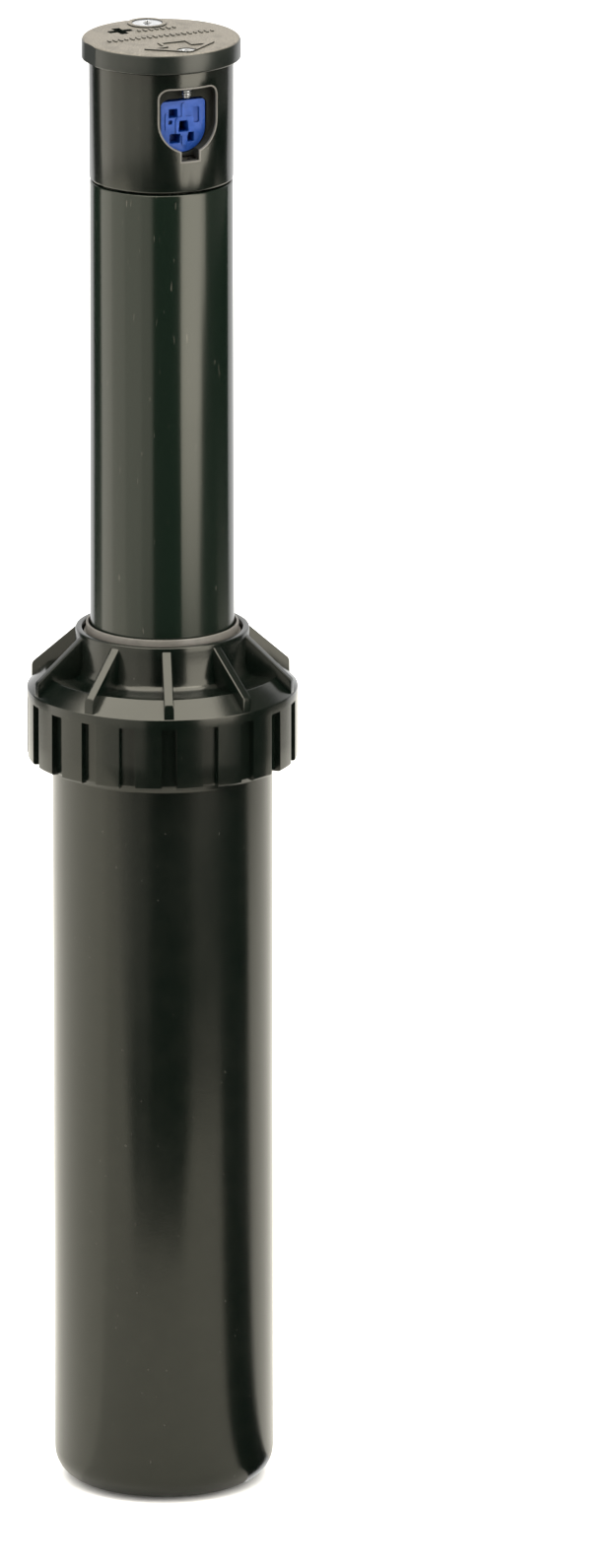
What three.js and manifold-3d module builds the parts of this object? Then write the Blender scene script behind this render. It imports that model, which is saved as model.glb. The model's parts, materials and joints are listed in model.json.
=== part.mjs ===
// Gear-driven pop-up sprinkler, standing on its inlet with the riser up.
// Millimetres, +Z up along the axis, origin at the middle of the bottom face.
// The nozzle looks along -Y. Every piece is a separate closed solid.
import * as THREE from "three";
import { mergeVertices } from "three/addons/utils/BufferGeometryUtils.js";
import Module from "manifold-3d";

const wasm = await Module();
wasm.setup();

// ---------------------------------------------------------------- driving dimensions

const riserTravel = 120.5; // how far the riser drops before its cover rests on the wiper lip
const gap = 0.3; // between pieces that touch
const roundSides = 36; // sides on a large turned piece
const midSides = 24;
const smallSides = 12;

const caseRadius = 23;
const caseWall = 2.2;
const caseFillet = 6; // big radius under the case
const caseTop = 171.2; // rim of the case, under the cap
const inletRadius = 12.7; // 3/4 inch pipe thread, female
const inletDepth = 16;
const floorTop = 18.5; // where the riser's foot comes to rest

const ringRadius = 28.2; // the cap's grip ring
const ringBottom = 157.1;
const ringTop = 172.1;
const shoulderRadius = 24.5;
const shoulderZ = 175.6;
const collarRadius = 18.2;
const collarTop = 184.9;
const lipZ = 186; // the wiper seal's lip, round the riser
const gripCount = 20; // recesses round the ring
const gripWidth = 3.2;
const gripDepth = 1.4;
const gripRim = 1.9; // plain band left above the recesses
const gussetCount = 10; // sloping ribs on the shoulder
const gussetWidth = 2;
const capTurn = THREE.MathUtils.degToRad(-21.15); // where the cap's first rib stops when screwed home

const riserBottom = 142.1;
const riserTop = 280.75;
const riserFootRadius = 15.05; // the tube is drafted, so its top is a little slimmer
const riserHeadRadius = 14.82;
const riserBore = 13.6;

const turretBottom = 281.2;
const turretTop = 306.4;
const turretRadius = 14.95;
const coverBottom = 306.7;
const coverTop = 311.2;
const coverRadius = 16.5;

const toothSize = 0.36; // gear module in the gearbox
const pinionTeeth = 8;
const wheelTeeth = 24;
const axleOffset = (toothSize * (pinionTeeth + wheelTeeth)) / 2;
const stagePitch = 4.2; // height of one gear stage
const stageCount = 5;
const wheelThickness = 2;
const statorZ = 181;
const gearboxBottom = 197;
const firstWheelZ = gearboxBottom + 3.6;
const shaftRadius = 0.55;
const plateZ = firstWheelZ + stageCount * stagePitch - 1.8; // plate over the gear stack
const reverserZ = plateZ + 3; // yoke that swings the reversing gears
const idlerZ = reverserZ + 1.7;
const drumTop = idlerZ + 5.4;
const stemRadius = 6;
const stemBore = 4.4;
const tripRadius = 12.3; // how far the trip rod stands from the axis
const crankReach = 4.2;

const adjuster = [-5.76, 7.88]; // middle of the arc adjuster
const liftSocket = [2, 11.6]; // hole for the lifting key
const arcPinionTeeth = 8;
const arcRingTeeth = 32;
const arcModule = (2 * Math.hypot(...adjuster)) / (arcPinionTeeth + arcRingTeeth);
const arcRingZ = turretBottom + 3.2;

// ---------------------------------------------------------------- materials

const material = (color, roughness, metalness = 0) =>
  new THREE.MeshStandardMaterial({ color, roughness, metalness });

const casePlastic = material(0x24241f, 0.45);
const riserPlastic = material(0x1f1f1c, 0.18);
const coverRubber = material(0x4b4640, 0.85);
const sealRubber = material(0x6b645c, 0.6);
const nozzleBlue = material(0x2f56c4, 0.35);
const stainless = material(0xb9bcc0, 0.3, 0.9);
const gearWhite = material(0xe6e2d6, 0.5);
const innerGrey = material(0x8f928f, 0.5);
const screenBlack = material(0x2c2e2f, 0.6);

// ---------------------------------------------------------------- shape helpers

// Points of an arc in a turned profile, as [radius, height] pairs.
function arc(centre, radius, from, to, steps) {
  return Array.from({ length: steps + 1 }, (_, i) => {
    const a = THREE.MathUtils.degToRad(from + ((to - from) * i) / steps);
    return [centre[0] + radius * Math.cos(a), centre[1] + radius * Math.sin(a)];
  });
}

// A closed profile of [radius, height] pairs, turned about +Z.
function revolve(profile, sides = roundSides) {
  const points = profile.map(([r, z]) => new THREE.Vector2(r, z));
  if (THREE.ShapeUtils.area(points) < 0) points.reverse();
  const startsOnAxis = points[0].x === 0 && points.at(-1).x === 0;
  if (!startsOnAxis) points.push(points[0].clone());
  return new THREE.LatheGeometry(points, sides).rotateX(Math.PI / 2);
}

const tube = (outer, inner, bottom, top, sides = midSides) =>
  revolve([[inner, bottom], [outer, bottom], [outer, top], [inner, top]], sides);

const rod = (radius, bottom, top, sides = smallSides) =>
  revolve([[0, bottom], [radius, bottom], [radius, top], [0, top]], sides);

// A box from its size and the middle of its underside.
const block = (x, y, z, at) =>
  new THREE.BoxGeometry(x, y, z).translate(at[0], at[1], at[2] + z / 2);

// An outline of [x, y] pairs raised from bottom to top.
function plate(outline, bottom, top) {
  const shape = new THREE.Shape(outline.map(([x, y]) => new THREE.Vector2(x, y)));
  return new THREE.ExtrudeGeometry(shape, {
    depth: top - bottom,
    bevelEnabled: false,
  }).translate(0, 0, bottom);
}

// An outline of [x, z] pairs, from depth y = near (outside) to y = far.
function port(outline, near, far) {
  const geometry = plate(outline, 0, Math.abs(near - far)).rotateX(Math.PI / 2);
  return geometry.translate(0, Math.max(near, far), 0);
}

// A round wire of the given radius along a curve, closed at both ends.
function wire(curve, radius, sides, steps) {
  const section = new THREE.Shape(
    Array.from({ length: sides }, (_, i) => {
      const a = (2 * Math.PI * i) / sides;
      return new THREE.Vector2(radius * Math.cos(a), radius * Math.sin(a));
    }),
  );
  return new THREE.ExtrudeGeometry(section, { steps, extrudePath: curve });
}

class Helix extends THREE.Curve {
  constructor(radius, bottom, height, turns) {
    super();
    Object.assign(this, { radius, bottom, height, turns });
  }
  getPoint(t, target = new THREE.Vector3()) {
    const a = 2 * Math.PI * this.turns * t;
    return target.set(
      this.radius * Math.cos(a),
      this.radius * Math.sin(a),
      this.bottom + this.height * t,
    );
  }
}

// The outline of a spur gear: straight-sided teeth with room for backlash.
function gearOutline(teeth, size, phase = 0) {
  const pitch = (teeth * size) / 2;
  const root = pitch - 1.1 * size;
  const tip = pitch + 0.8 * size;
  const step = (2 * Math.PI) / teeth;
  const rootShare = 0.29; // half of the tooth's width at its root, as a share of the pitch
  const tipShare = 0.09;
  const outline = [];
  for (let i = 0; i < teeth; i++) {
    const corners = [[root, -rootShare], [tip, -tipShare], [tip, tipShare], [root, rootShare]];
    for (const [r, share] of corners) {
      const a = phase + (i + share) * step;
      outline.push([r * Math.cos(a), r * Math.sin(a)]);
    }
  }
  return outline;
}

// Joining and cutting.
function solid(geometry) {
  const bare = geometry.clone();
  bare.deleteAttribute("normal");
  bare.deleteAttribute("uv");
  const merged = mergeVertices(bare, 1e-4);
  return new wasm.Manifold(
    new wasm.Mesh({
      numProp: 3,
      vertProperties: merged.attributes.position.array,
      triVerts: new Uint32Array(merged.index.array),
    }),
  );
}

function geometryOf(body) {
  const { numProp, vertProperties, triVerts } = body.getMesh();
  const count = vertProperties.length / numProp;
  const position = new Float32Array(count * 3);
  for (let i = 0; i < count; i++) {
    position.set(vertProperties.subarray(i * numProp, i * numProp + 3), i * 3);
  }
  const geometry = new THREE.BufferGeometry();
  geometry.setAttribute("position", new THREE.BufferAttribute(position, 3));
  geometry.setIndex(new THREE.BufferAttribute(triVerts, 1));
  return geometry;
}

const join = (first, ...rest) =>
  geometryOf(rest.reduce((sum, next) => sum.add(solid(next)), solid(first)));
const cut = (first, ...rest) =>
  geometryOf(rest.reduce((sum, next) => sum.subtract(solid(next)), solid(first)));

// Copies of a piece at equal angles round the axis.
const around = (count, make, turn = 0) =>
  Array.from({ length: count }, (_, i) => make(i).rotateZ(turn + (2 * Math.PI * i) / count));

// ---------------------------------------------------------------- the assembly

const sprinkler = new THREE.Group();

function add(name, geometry, look, position = [0, 0, 0], turn = 0) {
  const mesh = new THREE.Mesh(geometry, look);
  mesh.name = name;
  mesh.position.set(...position);
  mesh.rotation.z = turn;
  sprinkler.add(mesh);
}

// ---------------------------------------------------------------- case and cap

// Rings that stand for a screw thread, as part of a turned profile.
function threadRings(count, bottom, pitch, root, crest) {
  return Array.from({ length: count }, (_, i) => bottom + i * pitch).flatMap((z) => [
    [root, z],
    [crest, z + 0.7],
    [crest, z + 1.3],
    [root, z + 2],
  ]);
}

function bodyCase() {
  const inside = caseRadius - caseWall;
  const flare = caseRadius + 1.2; // the threaded mouth
  const bossRadius = inletRadius + 3.1;
  const guides = around(4, () => block(1.5, 2.4, caseTop - 45, [inside - 0.35, 0, 30]));
  const shell = revolve([
    [inletRadius + 0.6, 0],
    ...arc([caseRadius - caseFillet, caseFillet], caseFillet, -90, 0, 4),
    [caseRadius, caseTop - 16],
    [flare, caseTop - 13.8],
    ...threadRings(2, caseTop - 6.6, 4, flare, caseRadius + 2.1),
    [flare, caseTop],
    [inside, caseTop],
    [inside, 5.2],
    [inside - 2, 3.2],
    [bossRadius, 3.2],
    [bossRadius, floorTop],
    [9.5, floorTop],
    [9.5, inletDepth],
    [inletRadius, inletDepth],
    ...threadRings(2, 4, 5, inletRadius, inletRadius + 0.7).reverse(),
    [inletRadius, 1],
  ]);
  return join(shell, ...guides);
}

function bodyCap() {
  const inside = ringRadius - 2.8;
  const ceiling = shoulderZ - 2.6;
  const bore = collarRadius - 1.5;
  const shell = revolve(
    [
      [inside, ceiling],
      ...threadRings(2, caseTop - 8.8, 4, inside, inside - 0.8).reverse(),
      [inside, ringBottom],
      [ringRadius - 0.4, ringBottom],
      [ringRadius, ringBottom + 0.4],
      [ringRadius, ringTop],
      [shoulderRadius, shoulderZ],
      ...arc([collarRadius + 2.4, shoulderZ + 2.4], 2.4, -90, -180, 2),
      [collarRadius - 0.1, collarTop - 0.3],
      [collarRadius - 0.4, collarTop],
      [bore + 0.4, collarTop],
      [bore, collarTop - 0.6],
      [bore, ceiling],
    ],
    40,
  );
  const foot = ringRadius - 0.2;
  const gusset = [
    [collarRadius - 0.8, shoulderZ - 1],
    [collarRadius - 0.8, collarTop - 0.8],
    [foot, ringTop + 2.4],
    [foot, ringTop - 0.6],
    [foot - 1.6, ringTop - 0.6],
    [shoulderRadius - 0.5, shoulderZ - 1.3],
  ];
  const gussets = around(
    gussetCount,
    () =>
      plate(gusset, -gussetWidth / 2, gussetWidth / 2)
        .rotateX(Math.PI / 2)
        .rotateZ(-Math.PI / 2),
    capTurn,
  );
  const grips = around(
    gripCount,
    () =>
      block(gripWidth, 2 * gripDepth, ringTop - ringBottom, [
        0,
        -ringRadius,
        ringBottom - gripRim,
      ]),
    capTurn,
  );
  return cut(join(shell, ...gussets), ...grips);
}

function wiperSeal() {
  return revolve([
    [15.5, caseTop - 1.4],
    [20.2, caseTop - 1.4],
    [20.2, caseTop + 1.2],
    [16.35, caseTop + 1.2],
    [16.35, lipZ - 0.5],
    [16, lipZ],
    [15.7, lipZ],
    [15.3, lipZ - 0.5],
    [15.3, lipZ - 1.6],
    [15.7, lipZ - 2.6],
    [15.7, caseTop + 0.6],
  ]);
}

const springRadius = 17.5;
const springWire = 0.75;
const springTurns = 9;
const springBottom = riserBottom + 6;
const springTop = caseTop - 3.3;

const retractSpring = () =>
  wire(
    new Helix(
      springRadius,
      springBottom + springWire,
      springTop - springBottom - 2 * springWire,
      springTurns,
    ),
    springWire,
    5,
    springTurns * 12,
  );

add("body_case", bodyCase(), casePlastic);
add("body_cap", bodyCap(), casePlastic);
add("cap_gasket", tube(24, 22, caseTop + 0.3, shoulderZ - 2.9, roundSides), sealRubber);
add("wiper_seal", wiperSeal(), sealRubber);
add("spring_seat", tube(20.2, 15.5, caseTop - 3, caseTop - 1.7), innerGrey);
add("retract_spring", retractSpring(), stainless);

// ---------------------------------------------------------------- riser and its ratchet

const ratchetTeeth = 16;
const flangeTop = riserBottom + 3;
const faceTooth = (bottom, height) => block(2.4, 1.6, height, [17.2, 0, bottom]);

// Slides down the case on its guides and cannot turn; the riser clicks round beneath it.
function ratchetRing() {
  const ring = tube(20.2, 15.5, flangeTop + 1.1, flangeTop + 2.7);
  const teeth = around(ratchetTeeth, () => faceTooth(flangeTop + 0.8, 0.6));
  const keyways = around(4, () => block(2, 3.2, 4, [20.2, 0, flangeTop]));
  return cut(join(ring, ...teeth), ...keyways);
}

function riserTube() {
  const shell = revolve([
    [14.2, riserBottom],
    [19.1, riserBottom],
    [19.1, flangeTop],
    [riserFootRadius, flangeTop],
    [riserHeadRadius, riserTop - 0.3],
    [riserHeadRadius - 0.3, riserTop],
    [7.6, riserTop],
    [7.6, riserTop - 2.6],
    [riserBore, riserTop - 2.6],
    [riserBore, riserBottom + 2],
    [14.2, riserBottom + 2],
  ]);
  const halfStep = Math.PI / ratchetTeeth;
  const teeth = around(ratchetTeeth, () => faceTooth(flangeTop - 0.2, 0.7), halfStep);
  const tripHole = rod(0.95, riserTop - 4, riserTop + 1, 12).translate(-tripRadius, 0, 0);
  return cut(join(shell, ...teeth), tripHole);
}

// A basket that stands up inside the riser: open below, windowed round its sides.
function filterScreen() {
  const top = riserBottom + 25;
  const foot = riserBottom - 1.2;
  const basket = revolve(
    [
      [12, foot],
      [13.9, foot],
      [13.9, riserBottom + 1.7],
      [13.1, riserBottom + 1.7],
      [11.8, top],
      [0, top],
      [0, top - 1.2],
      [10.6, top - 1.2],
    ],
    24,
  );
  const rows = [0, 1, 2];
  const windows = rows.flatMap((row) =>
    around(6, () => block(6, 4.4, 5, [12.4, 0, riserBottom + 3.6 + row * 6.7])),
  );
  return cut(basket, ...windows);
}

add("ratchet_ring", ratchetRing(), innerGrey);
add("riser_tube", riserTube(), riserPlastic);
add("filter_screen", filterScreen(), screenBlack);

// ---------------------------------------------------------------- turbine and bypass valve

// A disc with slanted jets that spin the water, and four holes the bypass valve can open.
function stator() {
  const disc = tube(13.3, 1.6, statorZ, statorZ + 3.6);
  const jets = around(6, () =>
    new THREE.BoxGeometry(2.6, 2.2, 9)
      .rotateX(THREE.MathUtils.degToRad(38))
      .translate(9, 0, statorZ + 1.8),
  );
  const holes = around(4, () => rod(0.9, statorZ - 1, statorZ + 5, 8).translate(3.3, 0, 0), 0.4);
  return cut(disc, ...jets, ...holes);
}

function bypassValve() {
  return revolve(
    [
      [0, statorZ - 8],
      [2.7, statorZ - 8],
      [2.7, statorZ - 6.9],
      [1.3, statorZ - 6.9],
      [1.3, statorZ + 3.9],
      [4.8, statorZ + 3.9],
      [4.8, statorZ + 5.1],
      [0, statorZ + 5.1],
    ],
    20,
  );
}

function turbine() {
  const bottom = statorZ + 7.4;
  const hub = tube(3, shaftRadius + 0.2, bottom, bottom + 6, 16);
  const blades = around(10, () =>
    new THREE.BoxGeometry(8.2, 0.9, 6.4)
      .rotateX(THREE.MathUtils.degToRad(-32))
      .translate(6.6, 0, bottom + 3),
  );
  return join(hub, ...blades);
}

const bypassSpring = () => wire(new Helix(2.05, statorZ - 6.3, 5.6, 4), 0.28, 4, 4 * 10);

add("stator", stator(), innerGrey);
add("bypass_valve", bypassValve(), gearWhite);
add("bypass_spring", bypassSpring(), stainless);
add("turbine", turbine(), gearWhite);
add("turbine_shaft", rod(shaftRadius, statorZ + 6.2, plateZ + 1.3, 12), stainless);

// ---------------------------------------------------------------- reduction gearbox

const boreRadius = shaftRadius + 0.2;
const bored = (geometry) => cut(geometry, rod(boreRadius, -1, 400, 10));

// Odd stages turn on the offset axle and even stages idle on the turbine shaft.
// Each wheel meshes with the pinion below it, so their teeth are set half a pitch apart.
function compoundGear(stage) {
  const longPinion = idlerZ + 3.2 - (firstWheelZ + (stage - 1) * stagePitch);
  const pinionTop = stage === stageCount ? longPinion : wheelThickness + stagePitch - 0.3;
  const towardPinion = stage % 2 ? Math.PI : 0;
  const phase = towardPinion + Math.PI / wheelTeeth;
  const wheel = plate(gearOutline(wheelTeeth, toothSize, phase), 0, wheelThickness);
  const pinion = plate(gearOutline(pinionTeeth, toothSize), wheelThickness - 0.2, pinionTop);
  return bored(join(wheel, pinion));
}

const drivePinion = () =>
  bored(plate(gearOutline(pinionTeeth, toothSize), firstWheelZ - 0.8, firstWheelZ + 2.1));

const gearboxRadius = 12;
const gearboxBore = 11.1;

function gearboxCase() {
  const cup = revolve(
    [
      [0, gearboxBottom],
      [gearboxRadius, gearboxBottom],
      [gearboxRadius, plateZ + 1.8],
      [gearboxBore, plateZ + 1.8],
      [gearboxBore, gearboxBottom + 2.2],
      [0, gearboxBottom + 2.2],
    ],
    midSides,
  );
  const fins = around(3, () => block(1.9, 1.4, 20, [12.3, 0, gearboxBottom + 1]), 0.5);
  const shaftHole = rod(boreRadius, gearboxBottom - 1, gearboxBottom + 4, 10);
  const axleSocket = rod(boreRadius, gearboxBottom + 1, gearboxBottom + 4, 10);
  return cut(join(cup, ...fins), shaftHole, axleSocket.translate(axleOffset, 0, 0));
}

function gearboxPlate() {
  const disc = rod(gearboxBore - 0.3, plateZ, plateZ + 1.5, midSides);
  const shaftSocket = rod(boreRadius, plateZ - 1, plateZ + 3, 10);
  const pinionHole = rod(2.1, plateZ - 1, plateZ + 3, smallSides).translate(axleOffset, 0, 0);
  return cut(disc, shaftSocket, pinionHole);
}

add("drive_pinion", drivePinion(), gearWhite);
for (let stage = 1; stage <= stageCount; stage++) {
  const x = stage % 2 ? axleOffset : 0;
  const z = firstWheelZ + (stage - 1) * stagePitch;
  add(`reduction_gear_${stage}`, compoundGear(stage), gearWhite, [x, 0, z]);
}
add("gearbox_case", gearboxCase(), innerGrey);
add("gear_axle", rod(shaftRadius, gearboxBottom + 1.3, idlerZ + 3, 12), stainless, [
  axleOffset,
  0,
  0,
]);
add("gearbox_plate", gearboxPlate(), innerGrey);

// ---------------------------------------------------------------- reverser

// The last pinion drives one idler on one side and a pair of idlers on the other, so the two
// sides turn opposite ways. The yoke swings round that pinion and brings one side or the other
// into the ring gear. It is drawn in its middle place, with both sides clear of the ring.
const idlerTeeth = 12;
const ringTeeth = 56;
const pitchSum = (a, b) => (toothSize * (a + b)) / 2;
const polar = (r, degrees) => [
  r * Math.cos(THREE.MathUtils.degToRad(degrees)),
  r * Math.sin(THREE.MathUtils.degToRad(degrees)),
];
const lastPinion = [axleOffset, 0];
const plus = (a, b) => [a[0] + b[0], a[1] + b[1]];
const forwardIdler = plus(lastPinion, polar(pitchSum(pinionTeeth, idlerTeeth), 88));
const reverseIdler = plus(lastPinion, polar(pitchSum(pinionTeeth, pinionTeeth), -86.6));
const outerIdler = plus(reverseIdler, polar(pitchSum(pinionTeeth, idlerTeeth), -126.6));

// Turn a gear so that one of its gaps faces a tooth, or the share of a tooth, of its neighbour.
function meshPhase(teeth, at, neighbour, neighbourTeeth, neighbourPhase) {
  const toNeighbour = Math.atan2(neighbour[1] - at[1], neighbour[0] - at[0]);
  const neighbourStep = (2 * Math.PI) / neighbourTeeth;
  const share = (toNeighbour + Math.PI - neighbourPhase) / neighbourStep;
  return toNeighbour + (0.5 + share) * ((2 * Math.PI) / teeth);
}

function idler(teeth, phase) {
  return cut(plate(gearOutline(teeth, toothSize, phase), 0, 2.6), rod(0.75, -1, 4, 10));
}

function reverserYoke() {
  const bottom = reverserZ;
  const top = reverserZ + 1.3;
  const outline = [
    [-9.6, -1.9],
    [-3, -1.9],
    [outerIdler[0] - 1.4, outerIdler[1] - 0.4],
    [outerIdler[0] + 0.6, outerIdler[1] - 1.2],
    [reverseIdler[0] + 1.5, reverseIdler[1] - 0.4],
    [axleOffset + 2.6, 0],
    [forwardIdler[0] + 1.2, forwardIdler[1] + 0.4],
    [forwardIdler[0] - 1, forwardIdler[1] + 1.1],
    [-3, 1.9],
    [-9.6, 1.9],
  ];
  const pins = [forwardIdler, reverseIdler, outerIdler].map(([x, y]) =>
    rod(0.5, top - 0.3, idlerZ + 3, 10).translate(x, y, 0),
  );
  const pivot = rod(2.2, bottom - 1, top + 1, smallSides).translate(axleOffset, 0, 0);
  const notch = block(3.6, 1.8, 3, [-8.5, 0, bottom - 1]);
  return cut(join(plate(outline, bottom, top), ...pins), pivot, notch);
}

// A bowed leaf that snaps the yoke over to one side.
function toggleSpring() {
  const z = reverserZ + 0.6;
  const bow = [[-4.6, -3.3], [-6.2, -5.1], [-8.1, -5], [-9, -3.2]];
  return wire(
    new THREE.CatmullRomCurve3(bow.map(([x, y]) => new THREE.Vector3(x, y, z))),
    0.25,
    6,
    12,
  );
}

// The ring gear's drum turns the hollow stem, which carries the turret. Water enters the stem
// through its side slots.
function driveStem() {
  const collarZ = riserTop - 5.4;
  const stemTop = turretBottom + 10.6;
  const drumRadius = 11.4;
  const profile = revolve(
    [
      [0, idlerZ - 0.1],
      [drumRadius, idlerZ - 0.1],
      [drumRadius, drumTop],
      [stemRadius, drumTop + 1.6],
      [stemRadius, collarZ],
      [9.2, collarZ],
      [9.2, collarZ + 1.7],
      [stemRadius, collarZ + 1.7],
      [stemRadius, stemTop],
      [stemBore, stemTop],
      [stemBore, drumTop + 2],
      [0, drumTop + 2],
    ],
    midSides,
  );
  const innerOutline = gearOutline(ringTeeth, -toothSize);
  const ringSpace = plate(innerOutline, idlerZ - 1, idlerZ + 3.4);
  const slots = around(2, () => block(20, 4, 16, [0, 0, drumTop + 5]), Math.PI / 4);
  return cut(profile, ringSpace, ...slots);
}

function gearboxCover() {
  return cut(
    revolve(
      [
        [gearboxBore - 0.2, plateZ + 2.1],
        [gearboxRadius, plateZ + 2.1],
        [gearboxRadius, idlerZ - 0.5],
        [gearboxBore - 0.2, idlerZ - 0.5],
      ],
      midSides,
    ),
    block(3.4, 7, 8, [-tripRadius + 0.4, 0, plateZ]),
  );
}

// Struck by the arc ring's tab inside the turret's base; its crank flips the yoke below.
function tripLever() {
  const shaft = rod(0.7, reverserZ - 1.2, riserTop + 1.9, 10).translate(-tripRadius, 0, 0);
  const arm = block(3.6, 1.4, 1.2, [-tripRadius + 1.9, 0, riserTop + 0.7]);
  const crankZ = reverserZ - 1.2;
  const crank = block(crankReach, 1.2, 0.9, [-tripRadius + crankReach / 2, 0, crankZ]);
  const pin = rod(0.6, crankZ, reverserZ + 1.2, 10).translate(crankReach - tripRadius, 0, 0);
  return join(shaft, arm, crank, pin);
}

const forwardPhase = meshPhase(idlerTeeth, forwardIdler, lastPinion, pinionTeeth, 0);
const reversePhase = meshPhase(pinionTeeth, reverseIdler, lastPinion, pinionTeeth, 0);
const outerPhase = meshPhase(idlerTeeth, outerIdler, reverseIdler, pinionTeeth, reversePhase);

add("reverser_yoke", reverserYoke(), gearWhite);
add("idler_forward", idler(idlerTeeth, forwardPhase), gearWhite, [...forwardIdler, idlerZ]);
add("idler_reverse", idler(pinionTeeth, reversePhase), gearWhite, [...reverseIdler, idlerZ]);
add("idler_outer", idler(idlerTeeth, outerPhase), gearWhite, [...outerIdler, idlerZ]);
add("toggle_spring", toggleSpring(), stainless);
add("gearbox_cover", gearboxCover(), innerGrey);
add("trip_lever", tripLever(), gearWhite);
add("drive_stem", driveStem(), gearWhite);

// ---------------------------------------------------------------- bearing at the riser's top

const stemBearing = () =>
  revolve(
    [
      [6.3, riserTop - 2.6],
      [7.3, riserTop - 2.6],
      [7.3, riserTop + gap],
      [8.2, riserTop + gap],
      [8.2, riserTop + 1],
      [6.3, riserTop + 1],
    ],
    midSides,
  );

add("thrust_washer", tube(9.2, 6.4, riserTop - 3.5, riserTop - 2.9), stainless);
add("stem_bearing", stemBearing(), innerGrey);
add("stem_seal", tube(7.4, 6.25, riserTop + 1.3, riserTop + 2.4), sealRubber);

// ---------------------------------------------------------------- turret

const pocketWidth = 12.9;
const pocketBottom = 289.6;
const pocketTop = 303.1;
const pocketFloor = -11.3; // y of the pocket's back wall
const nozzleWidth = 9.9;
const nozzleBottom = 289;
const nozzleTop = 300.2;
const nozzleFace = -11.05;
const orificeZ = 294.4;
const screwY = -12.75;
const screwRadius = 1.15;

// Outline with a flat top, rounded upper corners and a half-round foot.
function portOutline(width, bottom, top, corner) {
  const half = width / 2;
  return [
    ...arc([0, bottom + half], half, 180, 360, 10),
    ...arc([half - corner, top - corner], corner, 0, 90, 3),
    ...arc([corner - half, top - corner], corner, 90, 180, 3),
  ];
}

function turretHousing() {
  const boss = turretRadius - 0.7;
  const outside = revolve([
    [turretRadius - 1.6, turretBottom],
    [turretRadius - 0.3, turretBottom],
    [turretRadius, turretBottom + 0.3],
    [turretRadius, turretTop],
    [boss, turretTop],
    [boss, turretTop + 2.6],
    [0, turretTop + 2.6],
    [0, turretBottom + 21],
    [stemRadius + 0.3, turretBottom + 21],
    [stemRadius + 0.3, turretBottom + 7],
    [turretRadius - 1.6, turretBottom + 7],
  ]);
  return cut(
    outside,
    port(portOutline(pocketWidth, pocketBottom, pocketTop, 2), pocketFloor, -16),
    block(4.1, 4.7, 4, [0, pocketFloor - 2.35, pocketBottom - 1.8]),
    port(portOutline(nozzleWidth + 0.6, nozzleBottom - 0.3, nozzleTop + 0.3, 1.8), -4.5, -12),
    rod(screwRadius + 0.25, pocketTop - 1, turretTop + 4, 12).translate(0, screwY, 0),
    rod(2.2, turretBottom + 6, turretTop + 4).translate(...adjuster, 0),
    rod(2, turretTop - 7, turretTop + 4, 6).translate(...liftSocket, 0),
  );
}

// A soft cap over the turret, with openings for the screw, the lifting key and the adjuster.
function topCover() {
  const cup = revolve([
    [0, coverTop - 1.9],
    [turretRadius - 0.4, coverTop - 1.9],
    [turretRadius - 0.4, coverBottom],
    [coverRadius - 0.2, coverBottom],
    [coverRadius, coverBottom + 0.3],
    [coverRadius - 0.15, coverTop - 0.7],
    [coverRadius - 0.6, coverTop - 0.3],
    [0, coverTop - 0.3],
  ]);
  const rim = tube(4.1, 3.3, coverTop - 0.6, coverTop, 20).translate(...liftSocket, 0);
  const arrow = plate(
    [[-2.4, -5.6], [-2.4, -8.2], [-5.2, -8.2], [0, -14.9], [5.2, -8.2], [2.4, -8.2], [2.4, -5.6]],
    coverTop - 0.6,
    coverTop,
  );
  const arm = new THREE.BoxGeometry(5.4, 1.5, 9).translate(...adjuster, coverTop);
  const crossArm = new THREE.BoxGeometry(1.5, 5.4, 9).translate(...adjuster, coverTop);
  return cut(
    join(cup, rim, arrow),
    rod(screwRadius + 0.35, turretTop, coverTop + 1, 12).translate(0, screwY, 0),
    rod(2.1, turretTop, coverTop + 1, smallSides).translate(...liftSocket, 0),
    arm,
    crossArm,
  );
}

// A push-in insert with a square throat, a small second port and moulded ribs on its face.
function nozzle() {
  const body = port(
    portOutline(nozzleWidth, nozzleBottom, nozzleTop, 1.6),
    nozzleFace,
    nozzleFace + 4.4,
  );
  const raised = nozzleFace - 0.1;
  const frame = block(3.9, 0.4, 3.8, [0, raised, orificeZ - 1.9]);
  const ribs = [
    block(0.7, 0.4, 3, [0, raised, orificeZ + 1.8]),
    block(0.7, 0.4, 2.6, [0, raised, orificeZ - 4.3]),
  ];
  const throat = block(2.5, 12, 2.4, [0, nozzleFace, orificeZ - 1.2]);
  const secondPort = block(1.6, 12, 1.3, [-2.9, nozzleFace, orificeZ + 2.5]);
  const pockets = [
    block(2.1, 2.4, 2.6, [-2.9, nozzleFace, orificeZ - 2.6]),
    block(2.1, 2.4, 2.6, [2.9, nozzleFace, orificeZ - 2.6]),
  ];
  return cut(join(body, frame, ...ribs), throat, secondPort, ...pockets);
}

// A grub screw that is turned down into the stream to break it up.
function radiusScrew() {
  const bottom = pocketTop - 2.2;
  const top = coverTop - 0.8;
  const screw = revolve(
    [
      [0, bottom],
      [screwRadius - 0.4, bottom],
      [screwRadius, bottom + 0.6],
      [screwRadius, top - 0.3],
      [screwRadius - 0.3, top],
      [0, top],
    ],
    smallSides,
  );
  return cut(screw, rod(0.65, top - 1.5, top + 1, 6));
}

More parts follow.
